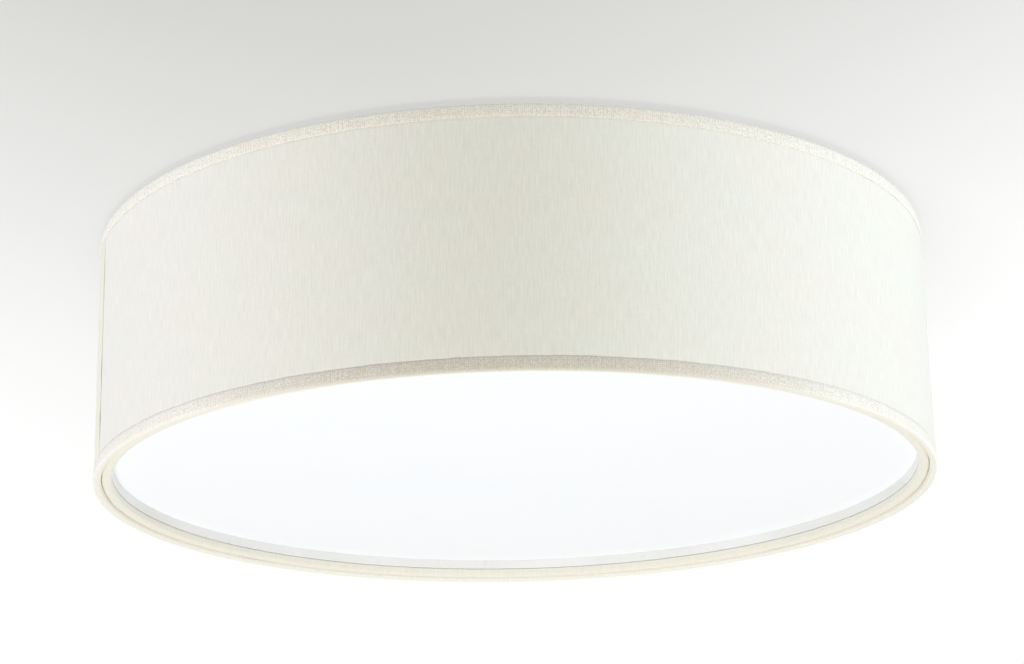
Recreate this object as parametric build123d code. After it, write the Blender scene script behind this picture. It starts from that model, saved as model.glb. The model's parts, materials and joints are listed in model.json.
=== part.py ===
from build123d import *
from math import acos, atan2, cos, degrees, pi, radians, sin, sqrt, tan
import os

# Flush ceiling light: a cloth drum shade that hangs by a pressed spider on a steel ceiling plate,
# closed below by a push-in opal lid, with two bulbs lying flat above it.
# Millimetres, +Z up. The origin is the middle of the plate's top face, which lies on the ceiling.

# ---------------------------------------------------------------- driving sizes
# Shade
shade_diameter = 400.0  # over the hems
shade_height = 117.0  # from the lowest point of the lower hem to the top of the upper hem
ceiling_gap = 3.0  # shadow line between the upper hem and the ceiling
fabric_thickness = 0.5
liner_thickness = 0.4
lap_width = 12.0  # end of the strip, glued over its start
lap_edge_angle = 198.0  # degrees round the drum to the lap's visible edge
hem_cloth_thickness = 0.4
hem_band_height = 6.0  # outer leg of the hem
hem_tuck_height = 9.0  # inner leg of the hem
hem_roll_folds = 12  # flats round the roll, as the pressed cloth shows
ring_wire_diameter = 2.7

# Lid
lid_rim_gap = 1.0  # between the shade's lower hem and the lid's rim
lid_setback = 1.4  # the lid's rim above the hem's lowest point
lid_rim_width = 3.8
lid_rim_height = 4.4
lid_rim_folds = 24  # round the rim's oval section
lid_cloth_thickness = 0.4
hoop_thickness = 2.0
hoop_height = 4.6
hoop_step = 0.3  # the hoop stands this far inside the rim's inner side
disc_thickness = 2.0
disc_overlap = 0.4  # the disc reaches this far past the hoop
disc_edge_radius = 0.5
clip_count = 4
clip_width = 14.0
clip_thickness = 0.4
clip_reach = 6.0  # finger over the disc's edge
clip_tongue_width = 5.0
clip_leg_reach = 1.5  # below the middle of the rim

# Ceiling plate
plate_diameter = 230.0
plate_thickness = 1.2
plate_rim_depth = 12.0
plate_bend_radius = 2.0
well_depth = 3.0
well_draft = 1.0
fixing_slot_spacing = 170.0
fixing_slot_length = 20.0
fixing_slot_width = 5.5
inlet_position = (0.0, 80.0)
inlet_well_radius = 12.0
grommet_bore_radius = 4.5
grommet_hole_radius = 7.0
grommet_flange_radius = 9.5
grommet_flange_thickness = 1.6

# Spider and studs
spider_thickness = 1.5
spider_ring_width = 26.0
spider_overlap = 3.0  # the spider's ring past the plate's rim
arm_count = 3
arm_width = 12.0
arm_weld_length = 12.0  # part of an arm under the ring
arm_bend_radius = 4.0
arm_end_run = 10.0  # level part of an arm beside the wire
first_arm_angle = 60.0
stud_count = 3
stud_diameter = 5.0
stud_head_diameter = 9.0
stud_head_thickness = 2.0
stud_head_chamfer = 0.5
first_stud_angle = 30.0
keyhole_turn = 12.0  # degrees from locked to the entry hole

# Lampholder bracket
bracket_thickness = 1.5
bracket_width = 36.0
bracket_base_length = 40.0
bracket_leg_width = 26.0
bracket_bend_radius = 2.5
rivet_spacing = 26.0
rivet_diameter = 4.1
rivet_head_diameter = 7.2
rivet_head_thickness = 1.3
rivet_well_radius = 5.5
lamp_axis_drop = 58.0  # ceiling to the bulbs' axis

# Lampholders: heights are measured outwards from the bracket's leg
nipple_diameter = 9.9
nipple_bore_diameter = 7.2
nipple_inner_length = 6.5
nipple_outer_length = 9.0
nut_width = 14.0
nut_thickness = 4.0
holder_cap_wall = 2.0
holder_sleeve_wall = 4.6
holder_floor = 3.0
holder_cap_length = 20.0
holder_sleeve_length = 34.0
holder_edge_radius = 1.5
insert_length = 7.4
insert_recess = 2.4  # part of the insert that lies in the sleeve
insert_hub_length = 1.6
insert_hub_step = 0.9  # the hub's edge inside the thread shell's outer face
thread_shell_thickness = 0.4
thread_shell_length = 22.0
thread_shell_opening = 15.0
contact_width = 6.0
contact_thickness = 0.5
contact_length = 9.0
contact_slope_length = 3.0
contact_lift = 3.2

# Bulbs: heights are measured along the axis from the contact tip
bulb_cap_diameter = 26.2  # a standard 27 mm screw cap
bulb_cap_thickness = 0.35
bulb_cap_length = 20.5
bulb_tip_diameter = 9.4
bulb_tip_thickness = 1.2
bulb_insulator_height = 3.3
bulb_globe_diameter = 60.0
bulb_globe_thickness = 1.4
bulb_length = 106.0
bulb_neck_diameter = 45.0  # where the housing meets the globe
bulb_neck_lean = 0.6  # the flare's slope there, outwards per unit along the axis
bulb_collar_step = 0.7  # the collar stands this far out from the cap
bulb_collar_thickness = 1.2
bulb_board_thickness = 1.6
bulb_board_margin = 1.4  # board's edge inside the globe's wall

# Terminal block
pole_count = 3
pole_wall = 0.35  # between a barrel's side and the head of a fixing screw
block_length = 20.0
block_height = 14.0
block_position = (0.0, 45.0)
block_well_radius = 13.0
block_edge_radius = 1.0
barrel_diameter = 5.9
barrel_recess = 1.5  # each end of a barrel inside the block's face
barrel_web = 2.0  # solid middle between a barrel's two bores
terminal_bore_diameter = 3.2
clamp_screw_diameter = 2.8
clamp_screw_head_diameter = 3.8
clamp_screw_head_thickness = 1.8
block_screw_diameter = 2.9
block_screw_head_diameter = 5.4
block_screw_head_thickness = 1.8
block_counterbore_depth = 7.0
screw_slot_width = 0.7
screw_slot_depth = 0.6

# Earth connection
earth_position = (36.0, 24.0)
earth_well_radius = 6.5
earth_screw_diameter = 3.9
earth_screw_head_diameter = 7.0
earth_screw_head_thickness = 2.4
earth_screw_tip = 1.8  # past the well's floor
lug_ring_diameter = 8.4
lug_thickness = 0.8
lug_barrel_diameter = 3.2
lug_barrel_length = 7.0
lug_neck = 1.0

# Leads
lead_diameter = 1.8
lead_pair_offset = 1.0  # from the terminal's axis to each of its two leads
lead_plane_offset = 1.3  # from the lamp axis to each holder's pair of leads
lead_level_offset = 1.1  # the two leads of a pair, above and below the lamp axis
lead_bend_radius = 7.5
lead_mouth_run = 6.0  # straight out of the terminal block
lead_fall_run = 8.0  # then back towards the bracket
lead_fall = {"plain": 13.0, "left": 18.0, "right": 9.0}  # and down, so that crossing leads clear each other
lead_earth_run = 4.0

# Clearances
wire_clearance = 0.1
glue_film = 0.02
hole_clearance = 0.05
thread_clearance = 0.2  # bulb's cap in the thread shell
mouth_clearance = 0.6  # bulb's collar in the sleeve's mouth
access_clearance = 0.3  # clamp screw's head in its well
seat_clearance = 0.2  # spider to the plate's rim and to the studs' heads
stud_clearance = 0.25
contact_clearance = 0.3
lap_clearance = 0.2

# ---------------------------------------------------------------- derived places
shade_radius = shade_diameter / 2
shade_top = -ceiling_gap
shade_bottom = shade_top - shade_height
shade_middle = (shade_top + shade_bottom) / 2
ring_wire_radius = ring_wire_diameter / 2
hem_roll_radius = ring_wire_radius + wire_clearance + hem_cloth_thickness
ring_wire_circle = shade_radius - hem_roll_radius
lower_wire_level = shade_bottom + hem_roll_radius
upper_wire_level = shade_top - hem_roll_radius
hem_inner_radius = shade_radius - 2 * hem_roll_radius
cover_radius = shade_radius - hem_cloth_thickness - wire_clearance
liner_radius = cover_radius - fabric_thickness - glue_film
liner_inner_radius = liner_radius - liner_thickness
skin_bottom = lower_wire_level + ring_wire_radius + wire_clearance
skin_top = upper_wire_level - ring_wire_radius - wire_clearance

lid_rim_radius = hem_inner_radius - lid_rim_gap - lid_rim_width / 2
lid_rim_level = shade_bottom + lid_setback + lid_rim_height / 2
hoop_bottom = lid_rim_level + lid_rim_height / 2 + glue_film
hoop_top = hoop_bottom + hoop_height
hoop_inner_radius = lid_rim_radius - lid_rim_width / 2 - hoop_step
hoop_outer_radius = hoop_inner_radius + hoop_thickness
disc_radius = hoop_outer_radius + disc_overlap
disc_bottom = hoop_top + glue_film
disc_top = disc_bottom + disc_thickness
clip_leg_radius = hem_inner_radius - lid_rim_gap / 2

plate_radius = plate_diameter / 2
well_floor = -well_depth
well_underside = well_floor - plate_thickness
spider_top = -plate_rim_depth - seat_clearance
spider_bottom = spider_top - spider_thickness
spider_outer_radius = plate_radius + spider_overlap
spider_inner_radius = spider_outer_radius - spider_ring_width
stud_circle = spider_outer_radius - spider_ring_width / 2
stud_head_top = spider_bottom - seat_clearance
bracket_base_bottom = well_underside - bracket_thickness
lamp_level = -lamp_axis_drop
leg_face = bracket_width / 2
thread_shell_inner = bulb_cap_diameter / 2 + thread_clearance
thread_shell_outer = thread_shell_inner + thread_shell_thickness
collar_radius = bulb_cap_diameter / 2 + bulb_collar_step
mouth_radius = collar_radius + mouth_clearance
holder_radius = mouth_radius + holder_sleeve_wall
insert_top = holder_cap_length + insert_recess
shell_floor = insert_top + insert_hub_length
bulb_start = shell_floor + contact_lift + contact_thickness + contact_clearance
block_bottom = well_underside - block_height
terminal_level = well_underside - block_height / 2
pole_pitch = barrel_diameter + block_screw_head_diameter + 2 * pole_wall
barrel_length = block_length - 2 * barrel_recess
terminal_bore_depth = (barrel_length - barrel_web) / 2
clamp_screw_spacing = barrel_length - terminal_bore_depth
SIDES = {"left": -1, "right": 1}


# ---------------------------------------------------------------- helpers
def turned(*outline):
    """Solid of revolution about Z from (radius, height) corners."""
    return revolve(Plane.XZ * make_face(Polyline(*outline, close=True)), Axis.Z)


def tube(outer_radius, inner_radius, bottom, top):
    """Straight-walled ring between two heights."""
    return turned((inner_radius, bottom), (outer_radius, bottom), (outer_radius, top), (inner_radius, top))


def rod(radius, bottom, top, x=0.0, y=0.0):
    """Upright cylinder between two heights."""
    return Pos(x, y, (bottom + top) / 2) * Cylinder(radius, top - bottom)


def around(count, first_angle, solid):
    """Copies of a solid, evenly spaced about Z."""
    return [Rot(0, 0, first_angle + 360 * i / count) * solid for i in range(count)]


def polar(circle_radius, angle):
    """Point in plan at an angle in degrees."""
    return circle_radius * cos(radians(angle)), circle_radius * sin(radians(angle))


def oval_points(centre, half_width, half_height, last_angle, count):
    """Evenly spaced points along an oval, from its outer side to the last angle in degrees."""
    angles = [radians(last_angle * i / count) for i in range(count + 1)]
    return [(centre[0] + half_width * cos(a), centre[1] + half_height * sin(a)) for a in angles]


def write(node, *solids):
    """Writes one node; several solids become one group."""
    shape = solids[0] if len(solids) == 1 else Compound(children=list(solids))
    shape.label = node
    export_step(shape, os.path.join("parts", node + ".step"))


# ---------------------------------------------------------------- shade
def tangent_angle(point, centre, radius):
    """Angle on a circle, towards the drum's axis, where a line from the point touches it."""
    along, up = point[0] - centre[0], point[1] - centre[1]
    distance = sqrt(along**2 + up**2)
    return degrees(atan2(up, along) + acos(radius / distance))


def hem_section():
    """Section of the lower hem: outer leg, roll and an inner leg that leans on the liner."""
    centre = (ring_wire_circle, lower_wire_level)
    band_top = shade_bottom + hem_band_height
    tuck_top = shade_bottom + hem_tuck_height
    tuck_outer = (liner_inner_radius - wire_clearance, tuck_top)
    tuck_inner = (tuck_outer[0] - hem_cloth_thickness, tuck_top)
    inner_roll = hem_roll_radius - hem_cloth_thickness
    outside_end = tangent_angle(tuck_inner, centre, hem_roll_radius) - 360
    inside_end = tangent_angle(tuck_outer, centre, inner_roll) - 360
    outside = oval_points(centre, hem_roll_radius, hem_roll_radius, outside_end, hem_roll_folds)
    inside = oval_points(centre, inner_roll, inner_roll, inside_end, hem_roll_folds)
    outer_leg = [(shade_radius - hem_cloth_thickness, band_top), (shade_radius, band_top)]
    return make_face(Polyline(*outer_leg, *outside, tuck_inner, tuck_outer, *reversed(inside), close=True))


def lower_hem():
    """Cloth folded round the lower ring wire."""
    return revolve(Plane.XZ * hem_section(), Axis.Z)


def upper_hem():
    """The lower hem's section upside down, with a window in its inner leg for each arm."""
    middle = Plane((0, shade_middle, 0), z_dir=(0, 1, 0))
    hem = revolve(Plane.XZ * mirror(hem_section(), about=middle), Axis.Z)
    window_depth = 2 * hem_roll_radius
    window_width = arm_width + 2 * seat_clearance
    window = Box(window_depth, window_width, spider_thickness + 2 * seat_clearance)
    place = ring_wire_circle - window_depth / 2
    for cut in around(arm_count, first_arm_angle, Pos(place, 0, upper_wire_level) * window):
        hem -= cut
    return hem


def ring_wire(level):
    return Pos(0, 0, level) * Torus(ring_wire_circle, ring_wire_radius)


def fabric_cover():
    """Cloth drum with the strip's end lapped over its start between the hems."""
    drum = tube(cover_radius, cover_radius - fabric_thickness, skin_bottom, skin_top)
    lap_thickness = fabric_thickness + liner_thickness
    lap_bottom = shade_bottom + hem_band_height + lap_clearance
    lap_top = shade_top - hem_band_height - lap_clearance
    lap_turn = degrees(lap_width / shade_radius)
    lap_face = Pos(cover_radius + lap_thickness / 2, 0, 0) * Rectangle(lap_thickness, lap_top - lap_bottom)
    lap = revolve(Plane.XZ * Pos(0, (lap_top + lap_bottom) / 2) * lap_face, Axis.Z, lap_turn)
    return drum + Rot(0, 0, lap_edge_angle - lap_turn) * lap


def shade_liner():
    return tube(liner_radius, liner_inner_radius, skin_bottom, skin_top)


def keyhole(angle):
    """Curved slot for a stud's neck that ends in an entry hole for its head."""
    slot = SlotArc(CenterArc((0, 0), stud_circle, angle, keyhole_turn), stud_diameter + 2 * stud_clearance)
    entry_radius = stud_head_diameter / 2 + 2 * stud_clearance
    return slot + Pos(*polar(stud_circle, angle + keyhole_turn)) * Circle(entry_radius)


def spider_ring():
    """Flat ring with a keyhole for each stud."""
    ring = Circle(spider_outer_radius) - Circle(spider_inner_radius)
    for i in range(stud_count):
        ring -= keyhole(first_stud_angle + 360 * i / stud_count)
    return Pos(0, 0, spider_bottom) * extrude(ring, spider_thickness)


def spider_arm():
    """Strip welded under the ring that rises to the upper ring wire."""
    weld_level = spider_bottom - spider_thickness / 2
    line = FilletPolyline(
        (spider_outer_radius - arm_weld_length, weld_level),
        (spider_outer_radius + arm_bend_radius, weld_level),
        (ring_wire_circle - arm_end_run, upper_wire_level),
        (ring_wire_circle, upper_wire_level),
        radius=arm_bend_radius,
    )
    arm = extrude(Plane.XZ * trace(line, spider_thickness), arm_width / 2, both=True)
    arm &= tube(ring_wire_circle, 0.0, spider_bottom - spider_thickness, shade_top)
    return arm - Pos(0, 0, upper_wire_level) * Torus(ring_wire_circle, ring_wire_radius + glue_film)


# ---------------------------------------------------------------- lid
def rim_oval(trim):
    """Section of the lid's rim, smaller by a trim all round."""
    half_width, half_height = lid_rim_width / 2 - trim, lid_rim_height / 2 - trim
    outline = oval_points((lid_rim_radius, lid_rim_level), half_width, half_height, 360, lid_rim_folds)
    return make_face(Polyline(*outline[:-1], close=True))


def lid_cloth_wrap():
    """Cloth round the oval core, with a tail glued up the outside of the hoop."""
    section = rim_oval(0) - rim_oval(lid_cloth_thickness)
    roll = revolve(Plane.XZ * section, Axis.Z)
    tail_inner = hoop_outer_radius + glue_film
    tail_outer = tail_inner + lid_cloth_thickness - 2 * glue_film
    tail = tube(tail_outer, tail_inner, lid_rim_level + lid_rim_height / 2 - lid_cloth_thickness, hoop_top)
    return roll + tail


def lid_core():
    return revolve(Plane.XZ * rim_oval(lid_cloth_thickness + wire_clearance), Axis.Z)


def lid_hoop():
    return tube(hoop_outer_radius, hoop_inner_radius, hoop_bottom, hoop_top)


def opal_disc():
    disc = rod(disc_radius, disc_bottom, disc_top)
    return fillet(disc.edges(), disc_edge_radius)


def lid_clip():
    """Spring strip: a leg down in the gap beside the rim, a finger over the disc, a tongue on the hoop."""
    top = disc_top + glue_film + clip_thickness
    leg_bottom = lid_rim_level - clip_leg_reach
    leg = Pos(clip_leg_radius, 0) * Rectangle(clip_thickness, top - leg_bottom)
    finger_start = disc_radius - clip_reach
    finger_length = clip_leg_radius + clip_thickness / 2 - finger_start
    finger = Rectangle(finger_length, clip_thickness)
    leg_section = Pos(0, (top + leg_bottom) / 2) * leg
    finger_section = Pos(finger_start + finger_length / 2, top - clip_thickness / 2) * finger
    strip = extrude(Plane.XZ * (leg_section + finger_section), clip_width / 2, both=True)
    tongue_place = disc_radius + hole_clearance + clip_thickness / 2
    tongue_height = top - hoop_bottom
    tongue_section = Pos(tongue_place, top - tongue_height / 2) * Rectangle(clip_thickness, tongue_height)
    tongue = extrude(Plane.XZ * tongue_section, clip_tongue_width / 2, both=True)
    return strip + tongue


# ---------------------------------------------------------------- ceiling plate
def stud_places():
    return [polar(stud_circle, first_stud_angle + 360 * i / stud_count) for i in range(stud_count)]


def rivet_places():
    return [(0.0, side * rivet_spacing / 2) for side in (-1, 1)]


def block_screw_places():
    return [(block_position[0] + side * pole_pitch / 2, block_position[1]) for side in (-1, 1)]


def pressed_well(plate, place, floor_radius):
    """Presses a round well down into the plate, with drafted sides."""
    middle = -well_depth / 2
    outside = Cone(floor_radius + plate_thickness, floor_radius + plate_thickness + well_draft, well_depth)
    inside = Cone(floor_radius, floor_radius + well_draft, well_depth)
    plate += Pos(*place, middle - plate_thickness) * outside
    return plate - Pos(*place, middle) * inside


def ceiling_plate():
    """Pressed plate with a turned-down rim, wells, fixing slots and screw holes."""
    outline = FilletPolyline(
        (0, 0),
        (plate_radius, 0),
        (plate_radius, -plate_rim_depth),
        (plate_radius - plate_thickness, -plate_rim_depth),
        (plate_radius - plate_thickness, -plate_thickness),
        (0, -plate_thickness),
        radius=[0, plate_bend_radius, 0, 0, plate_bend_radius - plate_thickness, 0],
        close=True,
    )
    plate = revolve(Plane.XZ * make_face(outline), Axis.Z)
    wells = [(inlet_position, inlet_well_radius), (block_position, block_well_radius)]
    wells.append((earth_position, earth_well_radius))
    wells += [(place, rivet_well_radius) for place in rivet_places()]
    for place, floor_radius in wells:
        plate = pressed_well(plate, place, floor_radius)
    holes = [(inlet_position, grommet_hole_radius)]
    holes.append((earth_position, earth_screw_diameter / 2 + hole_clearance))
    holes += [(place, rivet_diameter / 2 + hole_clearance) for place in rivet_places()]
    holes += [(place, block_screw_diameter / 2 + hole_clearance) for place in block_screw_places()]
    for (x, y), radius in holes:
        plate -= rod(radius, well_underside - plate_thickness, 0, x, y)
    slot = extrude(SlotOverall(fixing_slot_length, fixing_slot_width), plate_thickness, both=True)
    for side in (-1, 1):
        plate -= Pos(side * fixing_slot_spacing / 2, 0, 0) * slot
    return plate


def shade_stud(place):
    """Headed stud welded under the plate."""
    neck = rod(stud_diameter / 2, stud_head_top, -plate_thickness, *place)
    head = rod(stud_head_diameter / 2, stud_head_top - stud_head_thickness, stud_head_top, *place)
    head = chamfer(head.edges().group_by(Axis.Z)[0], stud_head_chamfer)
    return neck + head


def cable_grommet():
    """Rubber ring that grips the edge of the inlet hole."""
    flange_top = well_floor + grommet_flange_thickness
    flange_bottom = well_underside - grommet_flange_thickness
    waist = grommet_hole_radius - hole_clearance
    ring = turned(
        (grommet_bore_radius, flange_bottom),
        (grommet_flange_radius, flange_bottom),
        (grommet_flange_radius, well_underside),
        (waist, well_underside),
        (waist, well_floor),
        (grommet_flange_radius, well_floor),
        (grommet_flange_radius, flange_top),
        (grommet_bore_radius, flange_top),
    )
    levels = ring.edges().filter_by(GeomType.CIRCLE).group_by(Axis.Z)
    outer_rims = [levels[i].sort_by(SortBy.RADIUS)[-1] for i in (0, -1)]
    return Pos(*inlet_position, 0) * fillet(outer_rims, grommet_flange_thickness / 3)


def holder_bracket():
    """Steel strip bent into a U, riveted under the plate, with a round-ended leg for each lampholder."""
    leg_bottom = lamp_level - bracket_leg_width / 2
    outside = FilletPolyline(
        (-leg_face, leg_bottom),
        (-leg_face, well_underside),
        (leg_face, well_underside),
        (leg_face, leg_bottom),
        radius=bracket_bend_radius,
    )
    inner_face = leg_face - bracket_thickness
    inside = FilletPolyline(
        (inner_face, leg_bottom),
        (inner_face, bracket_base_bottom),
        (-inner_face, bracket_base_bottom),
        (-inner_face, leg_bottom),
        radius=bracket_bend_radius - bracket_thickness,
    )
    feet = [Line(outside @ 1, inside @ 0), Line(inside @ 1, outside @ 0)]
    strip = extrude(Plane.XZ * make_face([outside, inside, *feet]), bracket_base_length / 2, both=True)
    base_height = bracket_thickness + bracket_bend_radius
    base_side = Pos(0, well_underside - base_height / 2) * Rectangle(bracket_base_length, base_height)
    leg_height = well_underside - lamp_level
    leg_side = Pos(0, lamp_level + leg_height / 2) * Rectangle(bracket_leg_width, leg_height)
    side = base_side + leg_side + Pos(0, lamp_level) * Circle(bracket_leg_width / 2)
    bracket = strip & extrude(Plane.YZ * side, bracket_width, both=True)
    nipple_hole = Cylinder(nipple_diameter / 2 + hole_clearance, 2 * bracket_width)
    bracket -= Pos(0, 0, lamp_level) * Rot(0, 90, 0) * nipple_hole
    for x, y in rivet_places():
        bracket -= rod(rivet_diameter / 2 + hole_clearance, bracket_base_bottom, well_underside, x, y)
    return bracket


def bracket_rivet(place):
    head_radius = rivet_head_diameter / 2
    shank = rod(rivet_diameter / 2, bracket_base_bottom, well_floor, *place)
    upper_head = rod(head_radius, well_floor, well_floor + rivet_head_thickness, *place)
    lower_head = rod(head_radius, bracket_base_bottom - rivet_head_thickness, bracket_base_bottom, *place)
    upper_head = fillet(upper_head.edges().group_by(Axis.Z)[-1], rivet_head_thickness / 2)
    lower_head = fillet(lower_head.edges().group_by(Axis.Z)[0], rivet_head_thickness / 2)
    return shank + upper_head + lower_head


# ---------------------------------------------------------------- lampholders and bulbs
def on_lamp_axis(solid, side):
    """Moves a piece built along Z on to the lamp axis, with height 0 at the bracket's leg."""
    direction = SIDES[side]
    return Plane((direction * leg_face, 0, lamp_level), x_dir=(0, 0, 1), z_dir=(direction, 0, 0)) * solid


def holder_nipple():
    return tube(nipple_diameter / 2, nipple_bore_diameter / 2, -nipple_inner_length, nipple_outer_length)


def holder_nut():
    hexagon = RegularPolygon(nut_width / 2, 6, major_radius=False)
    hexagon -= Circle(nipple_diameter / 2 + hole_clearance)
    return Pos(0, 0, -bracket_thickness - nut_thickness) * extrude(hexagon, nut_thickness)


def holder_cap():
    """Cup that screws on to the nipple."""
    cup = rod(holder_radius, 0, holder_cap_length)
    cup = fillet(cup.edges().group_by(Axis.Z)[0], holder_edge_radius)
    cup -= rod(holder_radius - holder_cap_wall, holder_floor, holder_cap_length)
    return cup - rod(nipple_diameter / 2 + hole_clearance, 0, holder_floor)


def holder_insert():
    """Insulating block between cap and sleeve that carries the contacts."""
    flange_radius = holder_radius - holder_cap_wall - hole_clearance
    flange = rod(flange_radius, insert_top - insert_length, insert_top - hole_clearance)
    return flange + rod(thread_shell_outer - insert_hub_step, insert_top - hole_clearance, shell_floor)


def holder_sleeve():
    """Outer sleeve with a recess for the insert and a plain mouth for the bulb's collar."""
    top = holder_cap_length + holder_sleeve_length
    recess_radius = holder_radius - holder_cap_wall
    sleeve = rod(holder_radius, holder_cap_length, top)
    sleeve = fillet(sleeve.edges().group_by(Axis.Z)[-1], holder_edge_radius)
    sleeve -= rod(recess_radius, holder_cap_length, insert_top)
    return sleeve - rod(mouth_radius, insert_top, top)


def holder_thread_shell():
    """Sheet-brass screw shell with an inturned floor."""
    floor_top = shell_floor + thread_shell_thickness
    opening = thread_shell_opening / 2
    end = shell_floor + thread_shell_length
    return turned(
        (opening, shell_floor),
        (thread_shell_outer, shell_floor),
        (thread_shell_outer, end),
        (thread_shell_inner, end),
        (thread_shell_inner, floor_top),
        (opening, floor_top),
    )


def holder_contact():
    """Spring strip that rises to the bulb's tip."""
    start = shell_floor + contact_thickness / 2
    rise = FilletPolyline(
        (-contact_length / 2, start),
        (-contact_slope_length / 2, start),
        (contact_slope_length / 2, start + contact_lift),
        (contact_length / 2, start + contact_lift),
        radius=contact_thickness,
    )
    return extrude(Plane.XZ * trace(rise, contact_thickness), contact_width / 2, both=True)


def bulb_tip():
    tip = rod(bulb_tip_diameter / 2, bulb_start, bulb_start + bulb_tip_thickness)
    return fillet(tip.edges().group_by(Axis.Z)[0], bulb_tip_thickness / 2)


def bulb_insulator():
    bottom = bulb_start + bulb_tip_thickness
    height = bulb_insulator_height
    wide = bulb_cap_diameter / 2 - bulb_cap_thickness - hole_clearance
    return Pos(0, 0, bottom + height / 2) * Cone(bulb_tip_diameter / 2 + bulb_cap_thickness, wide, height)


def bulb_cap():
    bottom = bulb_start + bulb_tip_thickness + bulb_insulator_height - bulb_cap_thickness
    outer = bulb_cap_diameter / 2
    return tube(outer, outer - bulb_cap_thickness, bottom, bottom + bulb_cap_length)


def globe_centre():
    return bulb_start + bulb_length - bulb_globe_diameter / 2


def globe_start():
    """Height at which the housing meets the globe."""
    drop = sqrt((bulb_globe_diameter / 2) ** 2 - (bulb_neck_diameter / 2) ** 2)
    return globe_centre() - drop


def bulb_housing():
    """Plug that fills the cap, a collar, and a flare up to the globe."""
    cap_bottom = bulb_start + bulb_tip_thickness + bulb_insulator_height
    collar = cap_bottom - bulb_cap_thickness + bulb_cap_length
    plug_radius = bulb_cap_diameter / 2 - bulb_cap_thickness - hole_clearance
    neck = (bulb_neck_diameter / 2, globe_start())
    flare_start = (collar_radius, collar + bulb_collar_thickness)
    flare = Spline(flare_start, neck, tangents=[(0, 1), (bulb_neck_lean, 1)])
    straight = Polyline(
        neck,
        (0, globe_start()),
        (0, cap_bottom),
        (plug_radius, cap_bottom),
        (plug_radius, collar),
        (collar_radius, collar),
        flare_start,
    )
    return revolve(Plane.XZ * make_face([flare, straight]), Axis.Z)


def bulb_board():
    """Round circuit board that carries the light-emitting chips, on top of the housing."""
    radius = bulb_neck_diameter / 2 - bulb_globe_thickness - bulb_board_margin
    return rod(radius, globe_start(), globe_start() + bulb_board_thickness)


def bulb_globe():
    """Thin opal dome, open where it stands on the housing."""
    radius = bulb_globe_diameter / 2
    dome = Sphere(radius) - Sphere(radius - bulb_globe_thickness)
    below = Pos(0, 0, globe_start() - globe_centre() - radius) * Box(2 * radius, 2 * radius, 2 * radius)
    return Pos(0, 0, globe_centre()) * (dome - below)


# ---------------------------------------------------------------- terminals and earth
def pole_places():
    first = block_position[0] - pole_pitch * (pole_count - 1) / 2
    return [first + i * pole_pitch for i in range(pole_count)]


def clamp_screw_places():
    rows = [block_position[1] + side * clamp_screw_spacing / 2 for side in (-1, 1)]
    return [(x, y) for x in pole_places() for y in rows]


def along_y(radius, length, x, y):
    """Cylinder along Y at the terminals' height."""
    return Pos(x, y, terminal_level) * Rot(90, 0, 0) * Cylinder(radius, length)


def terminal_block():
    """Moulded block with a tunnel for each barrel and wells for the screws."""
    middle = (well_underside + block_bottom) / 2
    block = Pos(*block_position, middle) * Box(pole_count * pole_pitch, block_length, block_height)
    block = fillet(block.edges().filter_by(Axis.Z), block_edge_radius)
    for x in pole_places():
        block -= along_y(barrel_diameter / 2 + hole_clearance, block_length, x, block_position[1])
    for x, y in clamp_screw_places():
        block -= rod(clamp_screw_head_diameter / 2 + access_clearance, block_bottom, terminal_level, x, y)
    for x, y in block_screw_places():
        seat = block_bottom + block_counterbore_depth
        block -= rod(block_screw_diameter / 2 + hole_clearance, block_bottom, well_underside, x, y)
        block -= rod(block_screw_head_diameter / 2 + hole_clearance, block_bottom, seat, x, y)
    return block


def terminal_barrel(x):
    """Brass barrel with a blind bore at each end and two tapped holes for the clamp screws."""
    y = block_position[1]
    barrel = along_y(barrel_diameter / 2, barrel_length, x, y)
    tapped_radius = clamp_screw_diameter / 2 + hole_clearance
    for side in (-1, 1):
        bore_y = y + side * clamp_screw_spacing / 2
        barrel -= along_y(terminal_bore_diameter / 2, terminal_bore_depth, x, bore_y)
        barrel -= rod(tapped_radius, terminal_level - barrel_diameter, terminal_level, x, bore_y)
    return barrel


def slotted(screw, x, y, bottom, head_diameter):
    """Cuts a screwdriver slot into the lower face of a head."""
    slot = Box(head_diameter, screw_slot_width, 2 * screw_slot_depth)
    return screw - Pos(x, y, bottom) * slot


def clamp_screw(place):
    tip = terminal_level - terminal_bore_diameter / 2
    barrel_underside = terminal_level - barrel_diameter / 2
    head_bottom = barrel_underside - hole_clearance - clamp_screw_head_thickness
    screw = rod(clamp_screw_diameter / 2, head_bottom, tip, *place)
    screw += rod(clamp_screw_head_diameter / 2, head_bottom, barrel_underside - hole_clearance, *place)
    return slotted(screw, *place, head_bottom, clamp_screw_head_diameter)


def block_screw(place):
    """Fixing screw that bites into the floor of the plate's well."""
    seat = block_bottom + block_counterbore_depth
    head_bottom = seat - block_screw_head_thickness
    screw = rod(block_screw_diameter / 2, seat, well_floor + plate_thickness, *place)
    screw += rod(block_screw_head_diameter / 2, head_bottom, seat, *place)
    return slotted(screw, *place, head_bottom, block_screw_head_diameter)


def lug_barrel_level():
    return well_underside - lug_barrel_diameter / 2


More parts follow.
